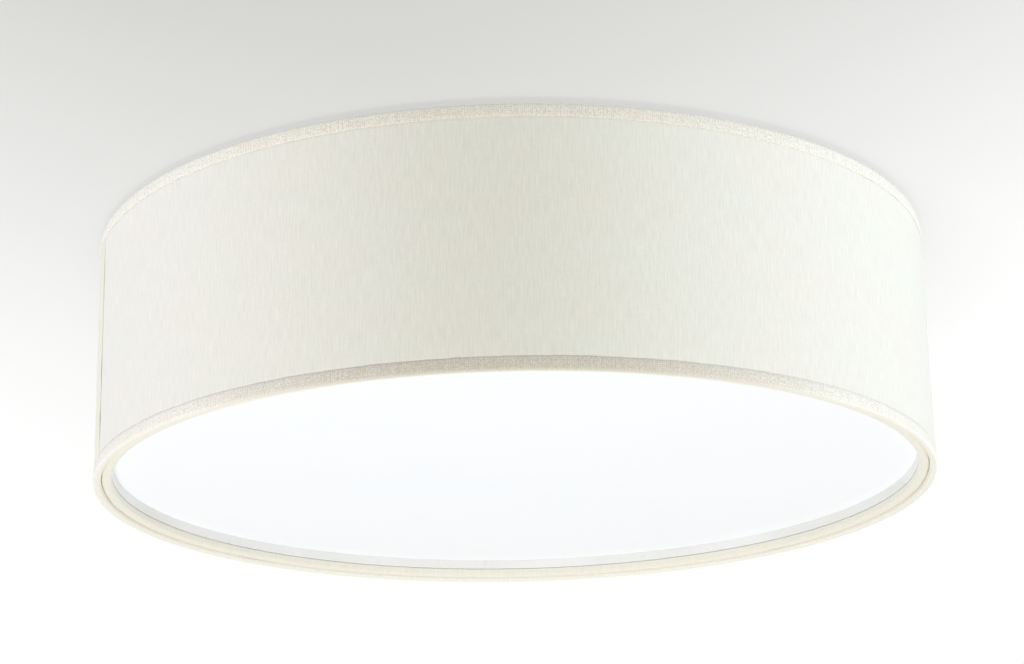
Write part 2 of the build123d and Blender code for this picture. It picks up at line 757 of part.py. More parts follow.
def earth_lug():
    """Ring lug with a crimp barrel that points towards the terminal block's side."""
    x, y = earth_position
    ring_radius = lug_ring_diameter / 2
    neck_end = x - ring_radius - lug_neck
    ring = Pos(x, y) * Circle(ring_radius)
    neck = Pos((neck_end + x) / 2, y) * Rectangle(x - neck_end, lug_barrel_diameter)
    plate = ring + neck - Pos(x, y) * Circle(earth_screw_diameter / 2 + hole_clearance)
    lug = Pos(0, 0, well_underside - lug_thickness) * extrude(plate, lug_thickness)
    barrel = Cylinder(lug_barrel_diameter / 2, lug_barrel_length)
    bore = Cylinder(lead_diameter / 2 + hole_clearance, lug_barrel_length - lug_neck)
    barrel_place = Pos(neck_end - lug_barrel_length / 2 + lug_neck, y, lug_barrel_level()) * Rot(0, 90, 0)
    return lug + barrel_place * barrel - barrel_place * Pos(0, 0, -lug_neck / 2) * bore


def earth_screw():
    x, y = earth_position
    seat = well_underside - lug_thickness
    head_bottom = seat - earth_screw_head_thickness
    screw = rod(earth_screw_diameter / 2, seat, well_floor + earth_screw_tip, x, y)
    head = rod(earth_screw_head_diameter / 2, head_bottom, seat, x, y)
    head = fillet(head.edges().group_by(Axis.Z)[0], earth_screw_head_thickness / 3)
    return slotted(screw + head, x, y, head_bottom, earth_screw_head_diameter)


# ---------------------------------------------------------------- leads
def lead(points):
    """Insulated lead along straight runs joined by tangent arcs."""
    corners = [Vector(*point) for point in points]
    radii = []
    for before, corner, after in zip(corners, corners[1:], corners[2:]):
        half_turn = radians((corner - before).get_angle(after - corner)) / 2
        shorter = min((corner - before).length, (after - corner).length)
        radii.append(min(0.45 * shorter / tan(half_turn), lead_bend_radius))
    path = FilletPolyline(*corners, radius=radii)
    section = Plane(path @ 0, z_dir=path % 0) * Circle(lead_diameter / 2)
    tube_solid = sweep(section, path)
    expected = path.length * pi * lead_diameter**2 / 4
    print("lead", round(path.length, 1), "mm, radii", [round(r, 1) for r in radii], end=" ")
    print("volume share", round(tube_solid.volume / expected, 4))
    return tube_solid


def holder_lead(pole_x, side):
    """Lead from a terminal, down between the bracket's legs and out through one nipple.

    Each pole feeds both lampholders. The lead to the holder on the pole's own side crosses over to
    the far leg first, drops nearer the middle and runs above the other lead of its pair.
    """
    direction = SIDES[side]
    crosses = pole_x * direction > 0
    outward = 1 if pole_x > 0 else -1
    start_x = pole_x + (-outward if crosses else outward) * lead_pair_offset
    start_y = block_position[1] - barrel_length / 2 - hole_clearance
    mouth_y = block_position[1] - block_length / 2 - lead_mouth_run
    plane_y = -direction * lead_plane_offset
    fall_x = start_x / 2 if crosses else start_x
    fall_z = terminal_level - (lead_fall[side] if crosses else lead_fall["plain"])
    drop = lead_bend_radius + (0 if crosses else 2 * lead_level_offset)
    drop_x = -direction * drop
    run_level = lamp_level + (lead_level_offset if crosses else -lead_level_offset)
    end_x = direction * (leg_face + insert_top - insert_length - hole_clearance)
    return lead(
        [
            (start_x, start_y, terminal_level),
            (start_x, mouth_y, terminal_level),
            (fall_x, mouth_y - lead_fall_run, fall_z),
            (drop_x, plane_y, (fall_z + lamp_level) / 2),
            (drop_x, plane_y, run_level),
            (end_x, plane_y, run_level),
        ]
    )


def earth_lead():
    x, y = pole_places()[1], block_position[1]
    lug_x = earth_position[0] - lug_ring_diameter / 2 - lug_barrel_length
    return lead(
        [
            (x, y - barrel_length / 2 - hole_clearance, terminal_level),
            (x, earth_position[1] + lead_earth_run, terminal_level),
            (lug_x / 2, earth_position[1], lug_barrel_level()),
            (lug_x + lug_barrel_length / 2, earth_position[1], lug_barrel_level()),
        ]
    )


# ---------------------------------------------------------------- assembly
def build_shade():
    write("fabric_cover", fabric_cover())
    write("shade_liner", shade_liner())
    write("top_hem", upper_hem())
    write("bottom_hem", lower_hem())
    write("top_ring_wire", ring_wire(upper_wire_level))
    write("bottom_ring_wire", ring_wire(lower_wire_level))
    write("spider_ring", spider_ring())
    write("spider_arms", *around(arm_count, first_arm_angle, spider_arm()))


def build_lid():
    write("lid_core", lid_core())
    write("lid_cloth_wrap", lid_cloth_wrap())
    write("lid_hoop", lid_hoop())
    write("opal_disc", opal_disc())
    for i, clip in enumerate(around(clip_count, 180 / clip_count, lid_clip())):
        write(f"lid_clip_{i + 1}", clip)


def build_ceiling_unit():
    write("ceiling_plate", ceiling_plate())
    write("shade_studs", *[shade_stud(place) for place in stud_places()])
    write("cable_grommet", cable_grommet())
    write("holder_bracket", holder_bracket())
    write("bracket_rivets", *[bracket_rivet(place) for place in rivet_places()])
    write("terminal_block", terminal_block())
    write("terminal_barrels", *[terminal_barrel(x) for x in pole_places()])
    write("terminal_clamp_screws", *[clamp_screw(place) for place in clamp_screw_places()])
    write("terminal_fixing_screws", *[block_screw(place) for place in block_screw_places()])
    write("earth_lug", earth_lug())
    write("earth_screw", earth_screw())
    write("earth_lead", earth_lead())


def build_leads():
    """A live and a neutral lead for each lampholder, from the first pole and the last."""
    poles = {"live": pole_places()[0], "neutral": pole_places()[-1]}
    for side in SIDES:
        for name, pole_x in poles.items():
            write(f"{name}_lead_{side}", holder_lead(pole_x, side))


def build_lamps():
    pieces = {
        "holder_{}_nipple": holder_nipple,
        "holder_{}_nut": holder_nut,
        "holder_{}_cap": holder_cap,
        "holder_{}_insert": holder_insert,
        "holder_{}_sleeve": holder_sleeve,
        "holder_{}_thread_shell": holder_thread_shell,
        "holder_{}_contact": holder_contact,
        "bulb_{}_tip": bulb_tip,
        "bulb_{}_insulator": bulb_insulator,
        "bulb_{}_cap": bulb_cap,
        "bulb_{}_housing": bulb_housing,
        "bulb_{}_board": bulb_board,
        "bulb_{}_globe": bulb_globe,
    }
    for side in SIDES:
        for node, make in pieces.items():
            write(node.format(side), on_lamp_axis(make(), side))


os.makedirs("parts", exist_ok=True)
build_shade()
build_lid()
build_ceiling_unit()
build_leads()
build_lamps()
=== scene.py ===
import json
import logging
import math
from dataclasses import dataclass
from enum import Enum
from typing import Callable, Sequence

import bmesh
import bpy
from mathutils import Matrix, Vector

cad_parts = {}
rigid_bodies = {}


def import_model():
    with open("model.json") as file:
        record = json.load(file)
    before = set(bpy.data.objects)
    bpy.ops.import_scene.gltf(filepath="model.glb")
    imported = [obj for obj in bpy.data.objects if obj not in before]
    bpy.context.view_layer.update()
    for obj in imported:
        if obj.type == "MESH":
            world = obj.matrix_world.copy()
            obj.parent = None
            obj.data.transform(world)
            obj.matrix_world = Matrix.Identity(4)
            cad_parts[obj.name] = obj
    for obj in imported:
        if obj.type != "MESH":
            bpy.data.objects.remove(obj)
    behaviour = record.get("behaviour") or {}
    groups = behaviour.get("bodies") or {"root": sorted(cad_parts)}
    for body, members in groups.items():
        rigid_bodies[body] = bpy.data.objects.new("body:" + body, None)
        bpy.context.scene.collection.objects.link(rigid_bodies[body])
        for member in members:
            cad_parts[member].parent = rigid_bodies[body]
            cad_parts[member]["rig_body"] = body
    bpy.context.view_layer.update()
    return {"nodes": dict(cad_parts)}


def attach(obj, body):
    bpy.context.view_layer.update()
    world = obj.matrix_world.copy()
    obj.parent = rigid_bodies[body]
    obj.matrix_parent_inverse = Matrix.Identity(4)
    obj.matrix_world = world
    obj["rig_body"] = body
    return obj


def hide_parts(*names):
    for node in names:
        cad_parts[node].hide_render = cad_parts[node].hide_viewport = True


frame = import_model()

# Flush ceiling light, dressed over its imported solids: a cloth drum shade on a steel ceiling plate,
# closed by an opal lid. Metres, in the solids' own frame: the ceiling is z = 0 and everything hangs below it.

LOG = logging.getLogger("ceiling_light")
MM = 0.001
CLOTH_MAP = "cloth_metres"
THINNED = 0.25  # a pressed cut edge's thickness, as a share of the whole cloth's
WAVE_SHIFT = 1.7  # how far each wave round the drum starts from the one with one turn fewer, in radians

Triple = tuple[float, float, float]
Colour = Triple
Profile = list[tuple[float, float]]
Waves = tuple[tuple[int, float, float], ...]
Socket = bpy.types.NodeSocket


class Body(Enum):
    """The moving groups of the part."""

    CEILING = "ceiling_unit"
    SHADE = "shade"
    LID = "diffuser_lid"
    BULB_LEFT = "bulb_left"
    BULB_RIGHT = "bulb_right"


class Coordinates(Enum):
    """Where a finish reads its pattern's place."""

    OBJECT = "Object"
    CLOTH = "UV"


def srgb(red: float, green: float, blue: float) -> Colour:
    """Turn a colour as a picture shows it into the linear one a shader takes.

    Args:
        red: Red, 0 to 255.
        green: Green, 0 to 255.
        blue: Blue, 0 to 255.

    Returns:
        The linear colour, each part 0 to 1.
    """
    parts = [value / 255 for value in (red, green, blue)]
    return tuple(p / 12.92 if p <= 0.04045 else ((p + 0.055) / 1.055) ** 2.4 for p in parts)


# ---------------------------------------------------------------- finishes


class NodeSheet:
    """A material's node tree, with short ways to add to it."""

    def __init__(self, name: str) -> None:
        """Start a material that holds only the shader and its output.

        Args:
            name: The material's name.
        """
        self.material = bpy.data.materials.new(name)
        self.material.use_nodes = True
        self.tree = self.material.node_tree
        self.shader = self.tree.nodes["Principled BSDF"]

    def add(self, kind: str, inputs: dict | None = None, **settings: object) -> bpy.types.Node:
        """Add a node, set it and wire its inputs.

        Args:
            kind: The node's type name, without the ShaderNode in front.
            inputs: Input name or number, to a value or to the socket that feeds it.
            **settings: The node's own settings.

        Returns:
            The new node.
        """
        node = self.tree.nodes.new("ShaderNode" + kind)
        for key, value in settings.items():
            setattr(node, key, value)
        for key, value in (inputs or {}).items():
            self.feed(node, key, value)
        return node

    def feed(self, node: bpy.types.Node, key: str | int, value: object) -> None:
        """Give one input its value, or the socket that feeds it.

        Args:
            node: The node whose input it is.
            key: The input's name or number.
            value: A number, a vector, a colour or an output socket.

        Returns:
            Nothing.
        """
        if isinstance(value, Socket):
            self.tree.links.new(value, node.inputs[key])
            return
        socket = node.inputs[key]
        wants_alpha = socket.type == "RGBA" and len(value) == 3
        socket.default_value = (*value, 1.0) if wants_alpha else value

    def place(self, source: Coordinates, scale: Sequence[float]) -> Socket:
        """Read a pattern's place, stretched.

        Args:
            source: Object coordinates or the cloth's own map.
            scale: Repeats per metre along each axis.

        Returns:
            The vector socket.
        """
        if source is Coordinates.CLOTH:
            start = self.add("UVMap", uv_map=CLOTH_MAP).outputs["UV"]
        else:
            start = self.add("TexCoord").outputs["Object"]
        return self.add("Mapping", {"Vector": start, "Scale": tuple(scale)}).outputs["Vector"]

    def coordinate(self, source: Coordinates, axis: int) -> Socket:
        """Read one part of a place, in metres."""
        return self.add("SeparateXYZ", {0: self.place(source, (1, 1, 1))}).outputs[axis]

    def noise(self, vector: Socket, detail: float = 2.0, roughness: float = 0.5) -> Socket:
        """Add a soft random pattern of about 0 to 1.

        Args:
            vector: Where it is read.
            detail: How many finer layers it has.
            roughness: How strong they are.

        Returns:
            The value socket.
        """
        inputs = {"Vector": vector, "Scale": 1.0, "Detail": detail, "Roughness": roughness}
        return self.add("TexNoise", inputs).outputs[0]

    def ranged(
        self, value: Socket, low: float, high: float, to_low: float = 0.0, to_high: float = 1.0
    ) -> Socket:
        """Map a value's range onto another, held at its ends.

        Args:
            value: The value to map.
            low: Its low end.
            high: Its high end.
            to_low: What the low end becomes.
            to_high: What the high end becomes.

        Returns:
            The mapped value.
        """
        inputs = {"Value": value, "From Min": low, "From Max": high, "To Min": to_low, "To Max": to_high}
        return self.add("MapRange", inputs).outputs["Result"]

    def math(self, operation: str, *values: object) -> Socket:
        """Add one sum.

        Args:
            operation: The Math node's operation.
            *values: Its one to three operands, numbers or sockets.

        Returns:
            The result.
        """
        return self.add("Math", dict(enumerate(values)), operation=operation).outputs[0]

    def mixed(self, factor: object, first: object, second: object, blend: str = "MIX") -> Socket:
        """Mix two colours.

        Args:
            factor: The share of the second.
            first: Colour or socket.
            second: Colour or socket.
            blend: The Mix node's blend type.

        Returns:
            The mixed colour.
        """
        inputs = {0: factor, 6: first, 7: second}
        return self.add("Mix", inputs, data_type="RGBA", blend_type=blend).outputs[2]

    def weighted(self, *parts: tuple[Socket, float]) -> Socket:
        """Add up patterns of about 0 to 1, each about its middle, round one half.

        Args:
            *parts: Each pattern and its weight.

        Returns:
            The sum, 0 to 1 when the weights are small.
        """
        total: object = 0.5
        for pattern, weight in parts:
            total = self.math("MULTIPLY_ADD", self.math("SUBTRACT", pattern, 0.5), weight, total)
        return total

    def relief(self, height: Socket, depth: float, strength: float = 1.0) -> Socket:
        """Turn a height pattern into a surface normal.

        Args:
            height: The pattern, 0 to 1.
            depth: Metres from its 0 to its 1.
            strength: How much of it shows.

        Returns:
            The normal socket.
        """
        inputs = {"Height": height, "Distance": depth, "Strength": strength}
        return self.add("Bump", inputs).outputs["Normal"]

    def finish(self, **shader: object) -> bpy.types.Material:
        """Set the shader's inputs.

        Args:
            **shader: Input name, with _ for a space, to a value or socket.

        Returns:
            The finished material.
        """
        for key, value in shader.items():
            self.feed(self.shader, key.replace("_", " "), value)
        return self.material


@dataclass(frozen=True)
class WovenCloth:
    """Plain-woven cloth with uneven threads, read from the piece's map in metres."""

    colour: Colour
    shade: Colour
    warm_tint: Colour
    cool_tint: Colour
    warp_pitch: float = 0.9 * MM
    weft_pitch: float = 0.8 * MM
    warp_streaks: float = 0.9
    weft_streaks: float = 0.5
    thread_contrast: float = 0.3
    tint_share: float = 0.5
    weave_depth: float = 0.12 * MM
    relief_strength: float = 0.5
    specks: float = 0.35
    roughness: float = 0.86
    sheen: float = 0.35
    thread_wander: float = 2.5
    spread: float = 0.06
    warp_slubs: Triple = (1.2 / MM, 0.11 / MM, 1.0)
    weft_slubs: Triple = (0.09 / MM, 1.3 / MM, 1.0)
    speck_scale: Triple = (1.1 / MM, 1.1 / MM, 1.0)
    mottle_scale: Triple = (22.0, 34.0, 1.0)
    glued_from: float = 0.0
    glued_over: float = 6 * MM
    glue_tint: Colour = srgb(254, 255, 243)
    band_from: float = 0.0
    band_over: float = 2 * MM
    # Painted light: the roll and tuck are lightened, as where the roll is seen lit from below.
    roll_painted_light: Colour = srgb(255, 253, 244)
    roll_painted_light_share: float = 0.0
    # Painted shade: the hem's outer band is darkened at the front of the drum, most on the lower hem.
    painted_front_shade: Colour = srgb(231, 227, 223)
    painted_shade_over: float = 1.5 * MM
    painted_shade_full_at: float = -195 * MM
    painted_shade_gone_at: float = -143 * MM
    painted_shade_low_level: float = -100 * MM
    painted_shade_share_above: float = 0.15

    def threads(self, sheet: NodeSheet, along: bool) -> Socket:
        """Make one set of threads, wavering a little.

        Args:
            sheet: The material's nodes.
            along: True for the threads that run up the cloth, set side by side along it.

        Returns:
            Height over one set of threads, 0 to 1.
        """
        pitch = self.warp_pitch if along else self.weft_pitch
        wander = sheet.noise(sheet.place(Coordinates.CLOTH, (90, 40, 1) if along else (40, 90, 1)), 3.0)
        axis = sheet.coordinate(Coordinates.CLOTH, 0 if along else 1)
        turns = sheet.math("MULTIPLY_ADD", wander, self.thread_wander, sheet.math("DIVIDE", axis, pitch))
        return sheet.math("ABSOLUTE", sheet.math("SINE", sheet.math("MULTIPLY", turns, math.pi)))

    def glued(self, sheet: NodeSheet, cloth: Socket) -> Socket:
        """Tint the end of the strip, where glue has soaked in.

        Args:
            sheet: The material's nodes.
            cloth: The cloth's colour.

        Returns:
            The colour with the glued end.
        """
        along = sheet.coordinate(Coordinates.CLOTH, 0)
        soaked = sheet.ranged(along, self.glued_from, self.glued_from + self.glued_over)
        return sheet.mixed(soaked, cloth, self.glue_tint, "MULTIPLY")

    def hemmed(self, sheet: NodeSheet, cloth: Socket) -> Socket:
        """Paint light on the hem's roll and tuck, and paint shade on its outer band at the front, deepest low
        on the drum.

        Args:
            sheet: The material's nodes.
            cloth: The cloth's colour.

        Returns:
            The hem's colour.
        """
        across = sheet.coordinate(Coordinates.CLOTH, 1)
        on_band = sheet.ranged(across, self.band_from, self.band_from + self.band_over)
        # Painted light on the roll and tuck, off the outer band.
        hem = sheet.mixed(on_band, sheet.mixed(self.roll_painted_light_share, cloth, self.roll_painted_light), cloth)
        # Painted shade: darken the outer band at the front, fading out upwards and towards the sides.
        level = sheet.coordinate(Coordinates.OBJECT, 2)
        share = sheet.ranged(level, self.painted_shade_low_level, 0.0, 1.0, self.painted_shade_share_above)
        depth = sheet.coordinate(Coordinates.OBJECT, 1)
        front = sheet.ranged(depth, self.painted_shade_full_at, self.painted_shade_gone_at, 1.0, 0.0)
        outside = sheet.ranged(across, self.band_from - self.painted_shade_over, self.band_from)
        painted_front_shade_mask = sheet.math("MULTIPLY", sheet.math("MULTIPLY", outside, front), share)
        return sheet.mixed(painted_front_shade_mask, hem, self.painted_front_shade, "MULTIPLY")

    def make(self, name: str) -> bpy.types.Material:
        """Build the material.

        Args:
            name: The material's name.

        Returns:
            The material.
        """
        sheet = NodeSheet(name)
        warp, weft = self.threads(sheet, True), self.threads(sheet, False)
        warp_slubs = sheet.noise(sheet.place(Coordinates.CLOTH, self.warp_slubs), 3.0, 0.6)
        weft_slubs = sheet.noise(sheet.place(Coordinates.CLOTH, self.weft_slubs), 3.0, 0.6)
        specks = sheet.noise(sheet.place(Coordinates.CLOTH, self.speck_scale), 2.0, 0.7)
        weave = sheet.math("MULTIPLY", sheet.math("ADD", warp, weft), 0.5)
        tone = sheet.weighted(
            (warp_slubs, self.warp_streaks),
            (weft_slubs, self.weft_streaks),
            (weave, self.thread_contrast),
            (specks, self.specks),
        )
        threads = sheet.mixed(tone, self.shade, self.colour)
        mottle = sheet.noise(sheet.place(Coordinates.CLOTH, self.mottle_scale), 3.0, 0.6)
        tint = sheet.mixed(sheet.ranged(mottle, 0.35, 0.65), self.cool_tint, self.warm_tint)
        height = sheet.weighted((weave, 0.7), (warp_slubs, 0.5), (weft_slubs, 0.2), (specks, 0.3))
        roughest, smoothest = self.roughness + self.spread, self.roughness - self.spread
        cloth = sheet.mixed(self.tint_share, threads, tint, "MULTIPLY")
        if self.glued_from:
            cloth = self.glued(sheet, cloth)
        if self.band_from:
            cloth = self.hemmed(sheet, cloth)
        return sheet.finish(
            Base_Color=cloth,
            Roughness=sheet.ranged(tone, 0.2, 0.8, roughest, smoothest),
            Normal=sheet.relief(height, self.weave_depth, self.relief_strength),
            Sheen_Weight=self.sheen,
            Sheen_Roughness=0.5,
            Specular_IOR_Level=0.25,
        )


@dataclass(frozen=True)
class Moulded:
    """Moulded, cast or sheet plastic, rubber or ceramic: faint tone changes, fine grain and rubbed places."""

    colour: Colour
    rubbed: Colour
    roughness: float = 0.4
    spread: float = 0.08
    patch: float = 45.0
    grain: float = 1600.0
    grain_depth: float = 0.015 * MM
    coat: float = 0.0
    gloss: float = 0.5
    glow_through: float = 0.0
    glow_colour: Colour = (1.0, 1.0, 1.0)
    wipe_stretch: Triple = (6.0, 1.5, 6.0)

    def make(self, name: str) -> bpy.types.Material:
        """Build the material.

        Args:
            name: The material's name.

        Returns:
            The material.
        """
        sheet = NodeSheet(name)
        patches = sheet.noise(sheet.place(Coordinates.OBJECT, (self.patch,) * 3), 4.0, 0.55)
        grain = sheet.noise(sheet.place(Coordinates.OBJECT, (self.grain,) * 3), 2.0, 0.6)
        stretched = [self.patch * times for times in self.wipe_stretch]
        wipes = sheet.noise(sheet.place(Coordinates.OBJECT, stretched), 3.0, 0.5)
        wear = sheet.ranged(sheet.weighted((patches, 1.2), (grain, 0.5)), 0.3, 0.75)
        rough = sheet.weighted((wipes, 1.0), (grain, 0.4))
        smoothest, roughest = self.roughness - self.spread, self.roughness + self.spread
        return sheet.finish(
            Base_Color=sheet.mixed(wear, self.colour, self.rubbed),
            Roughness=sheet.ranged(rough, 0.2, 0.8, smoothest, roughest),
            Normal=sheet.relief(grain, self.grain_depth, 0.6),
            Coat_Weight=self.coat,
            Coat_Roughness=0.08,
            Specular_IOR_Level=self.gloss,
            Subsurface_Weight=self.glow_through,
            Subsurface_Radius=self.glow_colour,
            Subsurface_Scale=0.002,
        )


@dataclass(frozen=True)
class BareMetal:
    """Drawn, turned or plated metal: lay marks one way, dulled patches and small scratches."""

    colour: Colour
    dulled: Colour
    roughness: float = 0.28
    lay: Triple = (1.0, 0.06, 1.0)
    lay_pitch: float = 0.25 * MM
    patch: float = 70.0
    dull_from: float = 0.5
    dull_over: float = 0.22
    mark_depth: float = 0.01 * MM
    smoother: float = 0.08
    rougher: float = 0.16

    def make(self, name: str) -> bpy.types.Material:
        """Build the material.

        Args:
            name: The material's name.

        Returns:
            The material.
        """
        sheet = NodeSheet(name)
        across_lay = [part / self.lay_pitch for part in self.lay]
        marks = sheet.noise(sheet.place(Coordinates.OBJECT, across_lay), 3.0, 0.6)
        patches = sheet.noise(sheet.place(Coordinates.OBJECT, (self.patch,) * 3), 5.0, 0.6)
        dull = sheet.ranged(patches, self.dull_from, self.dull_from + self.dull_over)
        rough = sheet.weighted((marks, 0.7), (patches, 0.8))
        smoothest, roughest = self.roughness - self.smoother, self.roughness + self.rougher
        return sheet.finish(
            Base_Color=sheet.mixed(dull, self.colour, self.dulled),
            Metallic=1.0,
            Roughness=sheet.ranged(rough, 0.2, 0.8, smoothest, roughest),
            Normal=sheet.relief(marks, self.mark_depth, 0.5),
        )


@dataclass(frozen=True)
class PowderCoat:
    """Baked powder paint on steel: orange-peel skin, faint tone changes, a few chips down to grey primer."""

    colour: Colour
    settled: Colour
    chip: Colour = (0.30, 0.30, 0.30)
    roughness: float = 0.38
    peel: float = 900.0
    peel_depth: float = 0.03 * MM
    dust_scale: float = 38.0
    fleck_scale: float = 420.0
    chips_from: float = 0.765
    chips_full: float = 0.775
    smoother: float = 0.06
    rougher: float = 0.14

    def make(self, name: str) -> bpy.types.Material:
        """Build the material.

        Args:
            name: The material's name.

        Returns:
            The material.
        """
        sheet = NodeSheet(name)
        peel = sheet.noise(sheet.place(Coordinates.OBJECT, (self.peel,) * 3), 2.0, 0.5)
        dust = sheet.noise(sheet.place(Coordinates.OBJECT, (self.dust_scale,) * 3), 5.0, 0.6)
        fleck = sheet.noise(sheet.place(Coordinates.OBJECT, (self.fleck_scale,) * 3), 2.0, 0.4)
        coat = sheet.mixed(sheet.ranged(dust, 0.4, 0.7), self.colour, self.settled)
        chips = sheet.ranged(fleck, self.chips_from, self.chips_full)
        rough = sheet.weighted((dust, 0.9), (peel, 0.3))
        smoothest, roughest = self.roughness - self.smoother, self.roughness + self.rougher
        return sheet.finish(
            Base_Color=sheet.mixed(chips, coat, self.chip),
            Roughness=sheet.ranged(rough, 0.2, 0.8, smoothest, roughest),
            Normal=sheet.relief(peel, self.peel_depth, 0.5),
        )


@dataclass(frozen=True)
class EarthInsulation:
    """Green lead insulation with a yellow stripe along its upper side."""

    green: Colour = srgb(64, 128, 58)
    yellow: Colour = srgb(226, 200, 60)

    def make(self, name: str) -> bpy.types.Material:
        """Build the material.

        Args:
            name: The material's name.

        Returns:
            The material.
        """
        sheet = NodeSheet(name)
        upward = sheet.add("SeparateXYZ", {0: sheet.add("TexCoord").outputs["Normal"]}).outputs[2]
        waver = sheet.noise(sheet.place(Coordinates.OBJECT, (900, 900, 900)), 2.0)
        edge = sheet.math("MULTIPLY_ADD", waver, 0.12, upward)
        stripe = sheet.ranged(edge, 0.36, 0.44)
        return sheet.finish(
            Base_Color=sheet.mixed(stripe, self.green, self.yellow),
            Roughness=sheet.ranged(waver, 0.3, 0.7, 0.38, 0.52),
            Normal=sheet.relief(waver, 0.02 * MM, 0.5),
        )


COVER_CLOTH = WovenCloth(
    colour=srgb(249, 248, 235),
    shade=srgb(228, 226, 212),
    warm_tint=srgb(252, 248, 244),
    cool_tint=srgb(248, 251, 247),
    warp_streaks=1.1,
    weft_streaks=0.2,
    thread_contrast=0.25,
    glued_from=1.232,
)
HEM_CLOTH = WovenCloth(
    colour=srgb(255, 253, 240),
    shade=srgb(217, 212, 196),
    warm_tint=srgb(253, 250, 244),
    cool_tint=srgb(250, 252, 246),
    warp_streaks=0.8,
    weft_streaks=0.4,
    thread_contrast=0.6,
    specks=2.2,
    relief_strength=0.45,
    band_from=9 * MM,
    # The roll and tuck carry painted light.
    roll_painted_light_share=0.5,
)
LID_CLOTH = WovenCloth(
    colour=srgb(252, 249, 238),
    shade=srgb(235, 231, 217),
    warm_tint=srgb(254, 250, 243),
    cool_tint=srgb(250, 252, 246),
    thread_contrast=0.4,
    relief_strength=0.6,
)

PLASTIC_WHITE = Moulded(colour=srgb(240, 240, 238), rubbed=srgb(230, 229, 224), roughness=0.36)
STEEL_PLATED = BareMetal(colour=srgb(202, 204, 206), dulled=srgb(168, 170, 172))
BRASS_PRESSED = BareMetal(colour=srgb(222, 190, 120), dulled=srgb(182, 148, 92), roughness=0.24)

FINISHES = {
    "cover_cloth": COVER_CLOTH,
    "hem_cloth": HEM_CLOTH,
    "lid_cloth": LID_CLOTH,
    "liner_film": Moulded(
        colour=srgb(247, 247, 244),
        rubbed=srgb(243, 243, 239),
        roughness=0.34,
        grain=700.0,
        patch=14.0,
    ),
    "ring_steel": STEEL_PLATED,
    "spider_enamel": PowderCoat(colour=srgb(240, 240, 236), settled=srgb(234, 234, 230)),
    "lid_core_plastic": PLASTIC_WHITE,
    "hoop_plastic": Moulded(
        colour=srgb(247, 247, 244),
        rubbed=srgb(240, 240, 235),
        roughness=0.32,
        patch=24.0,
        grain=900.0,
    ),
    "opal_acrylic": Moulded(
        colour=srgb(251, 253, 255),
        rubbed=srgb(249, 252, 255),
        roughness=0.42,
        spread=0.05,
        patch=9.0,
        grain=500.0,
        grain_depth=0.004 * MM,
        gloss=0.3,
        glow_through=0.15,
        glow_colour=(1.0, 0.95, 0.9),
    ),
    "clip_steel": BareMetal(
        colour=srgb(206, 207, 208),
        dulled=srgb(176, 178, 180),
        roughness=0.22,
        lay=(1.0, 1.0, 0.06),
    ),
    "plate_enamel": PowderCoat(colour=srgb(241, 241, 238), settled=srgb(236, 236, 232)),
    "stud_steel": BareMetal(colour=srgb(210, 208, 200), dulled=srgb(176, 172, 160), lay=(1.0, 1.0, 0.1)),
    "grommet_rubber": Moulded(
        colour=srgb(44, 44, 45),
        rubbed=srgb(70, 70, 70),
        roughness=0.62,
        grain_depth=0.03 * MM,
    ),
    "bracket_steel": STEEL_PLATED,
    "rivet_aluminium": BareMetal(
        colour=srgb(214, 216, 218),
        dulled=srgb(184, 186, 188),
        roughness=0.32,
        lay=(1.0, 1.0, 0.2),
    ),
    "nipple_steel": BareMetal(colour=srgb(206, 202, 186), dulled=srgb(170, 164, 142), lay=(0.08, 1.0, 1.0)),
    "holder_plastic": Moulded(
        colour=srgb(236, 236, 232),
        rubbed=srgb(226, 225, 219),
        roughness=0.34,
        grain=1100.0,
    ),
    "insert_ceramic": Moulded(
        colour=srgb(233, 230, 220),
        rubbed=srgb(222, 217, 203),
        roughness=0.22,
        coat=0.5,
        patch=90.0,
    ),
    "shell_brass": BRASS_PRESSED,
    "contact_brass": BRASS_PRESSED,
    "bulb_contact": BareMetal(colour=srgb(196, 194, 188), dulled=srgb(150, 146, 136), roughness=0.34),
    "bulb_insulator": Moulded(colour=srgb(34, 34, 40), rubbed=srgb(58, 58, 66), roughness=0.2, coat=0.4),
    "bulb_cap_metal": BareMetal(
        colour=srgb(212, 212, 210),
        dulled=srgb(178, 177, 172),
        roughness=0.26,
        lay=(1.0, 0.15, 0.15),
    ),
    "bulb_housing_plastic": Moulded(
        colour=srgb(240, 240, 239),
        rubbed=srgb(232, 232, 229),
        roughness=0.4,
        grain=1300.0,
    ),
    "bulb_board": PowderCoat(colour=srgb(238, 240, 238), settled=srgb(222, 226, 220), roughness=0.3),
    "bulb_globe_opal": Moulded(
        colour=srgb(244, 244, 242),
        rubbed=srgb(239, 239, 235),
        roughness=0.3,
        patch=26.0,
        glow_through=0.2,
    ),
    "block_nylon": Moulded(colour=srgb(232, 231, 224), rubbed=srgb(220, 218, 208), roughness=0.48),
    "barrel_brass": BareMetal(colour=srgb(218, 188, 122), dulled=srgb(176, 146, 92), lay=(1.0, 0.1, 1.0)),
    "screw_steel": BareMetal(colour=srgb(198, 199, 202), dulled=srgb(150, 152, 156), lay=(1.0, 1.0, 0.1)),
    "earth_screw_brass": BareMetal(
        colour=srgb(214, 182, 112),
        dulled=srgb(172, 140, 84),
        lay=(1.0, 1.0, 0.1),
    ),
    "lug_tin": BareMetal(colour=srgb(206, 207, 206), dulled=srgb(172, 173, 172), roughness=0.36),
    "lead_live": Moulded(colour=srgb(112, 66, 40), rubbed=srgb(132, 84, 56), roughness=0.44, grain=2200.0),
    "lead_neutral": Moulded(
        colour=srgb(44, 92, 164),
        rubbed=srgb(66, 112, 178),
        roughness=0.44,
        grain=2200.0,
    ),
    "lead_earth": EarthInsulation(),
}


